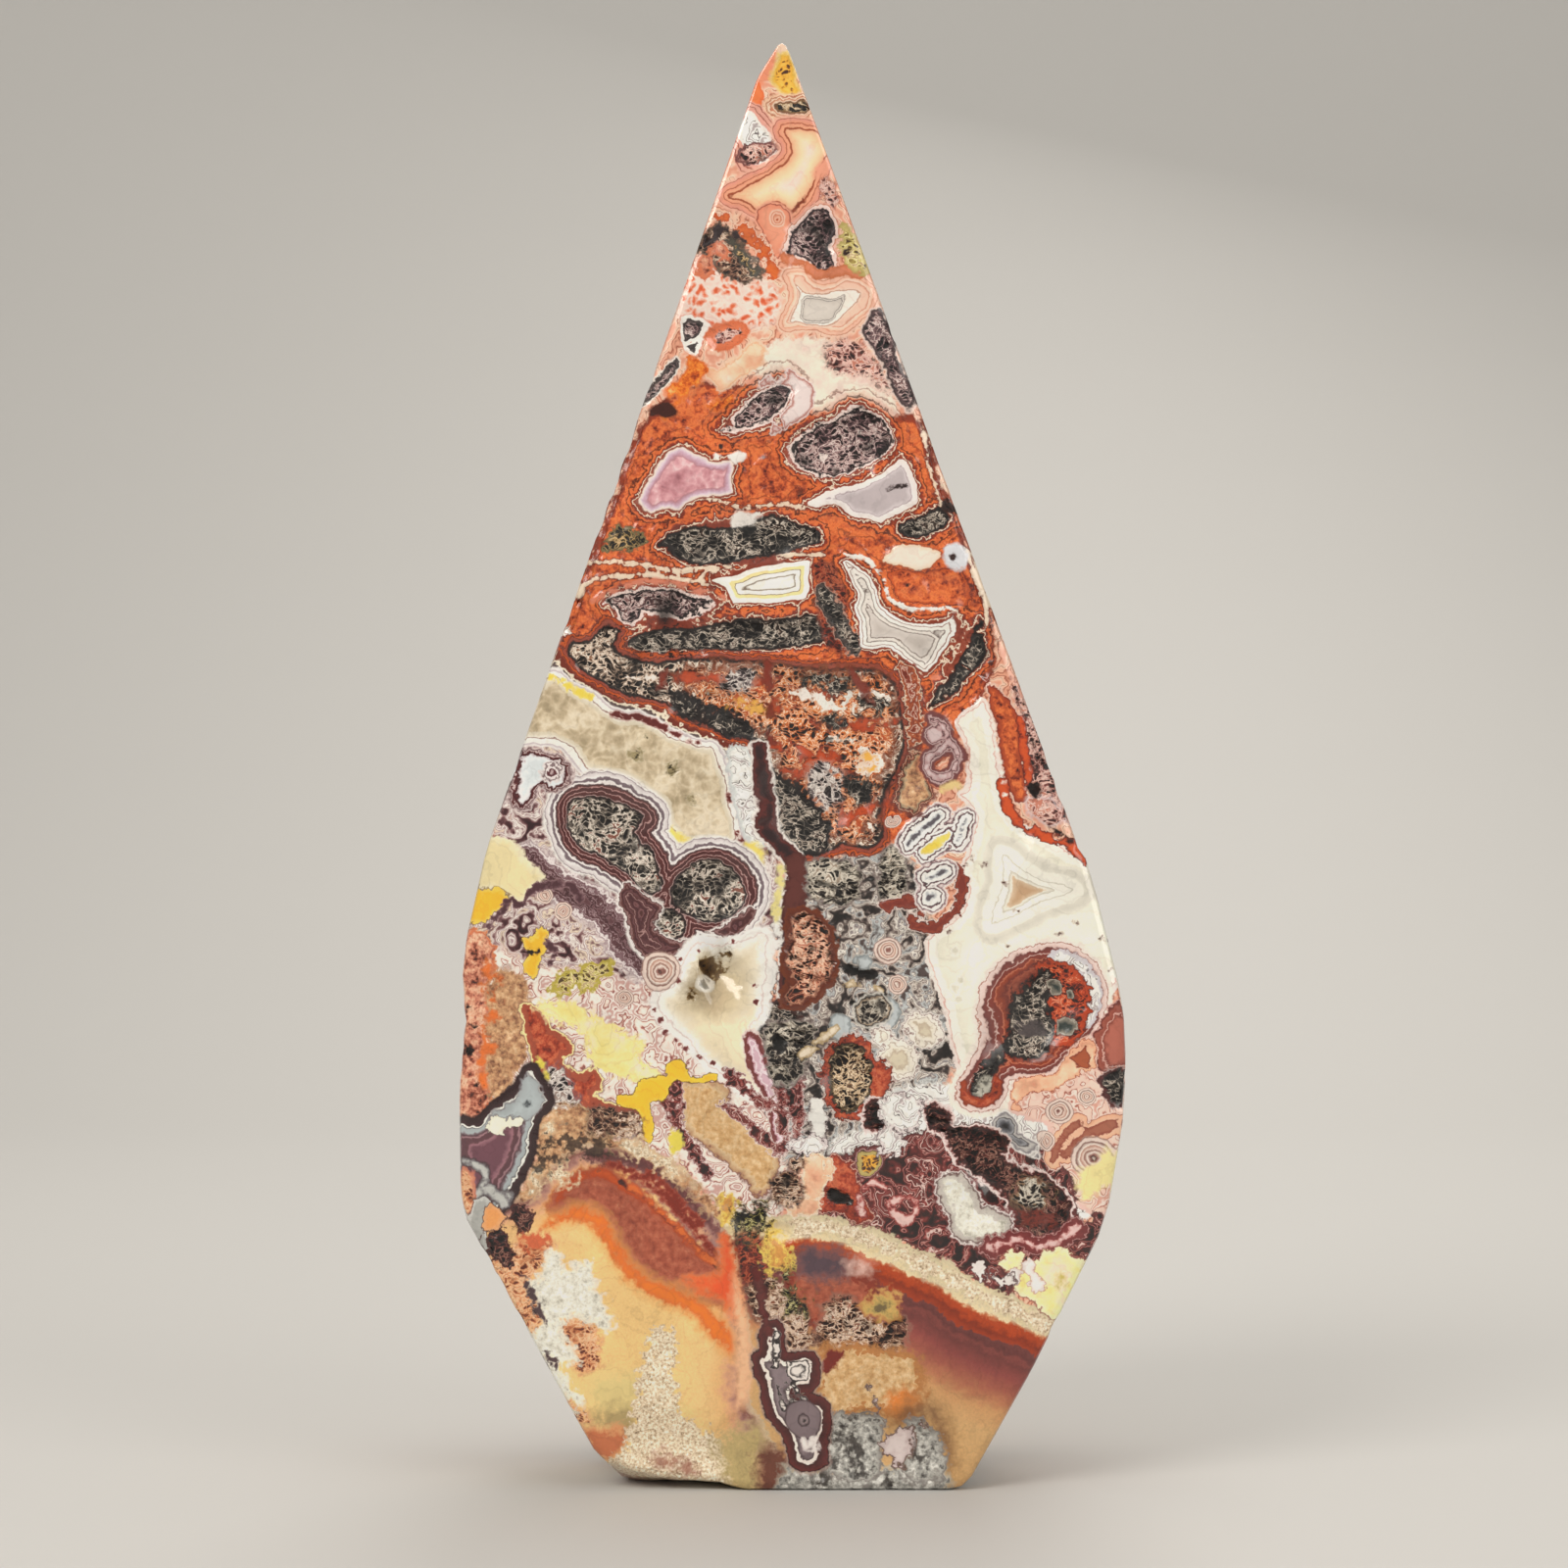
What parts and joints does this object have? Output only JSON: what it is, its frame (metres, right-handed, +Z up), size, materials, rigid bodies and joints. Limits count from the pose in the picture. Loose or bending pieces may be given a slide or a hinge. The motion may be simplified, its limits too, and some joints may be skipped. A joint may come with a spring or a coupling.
{
  "type": "agate flame tower",
  "caption": "Polished agate cut to a tall pointed flame with a flat front, tapering sides and a flat cut base, made to stand upright as an ornament.",
  "frame": {"origin": "middle of the bottom of the stone's box, on the flat cut base", "axes": "+Z up along the stone's height, -Y out of the flat front face, +X to the right seen from the front"},
  "size_m": [0.0785, 0.0398, 0.17],
  "materials": {
    "polished_agate": "polished stone"
  },
  "bodies": {
    "root": {"agate_flame": "polished_agate"}
  },
  "joints": []
}
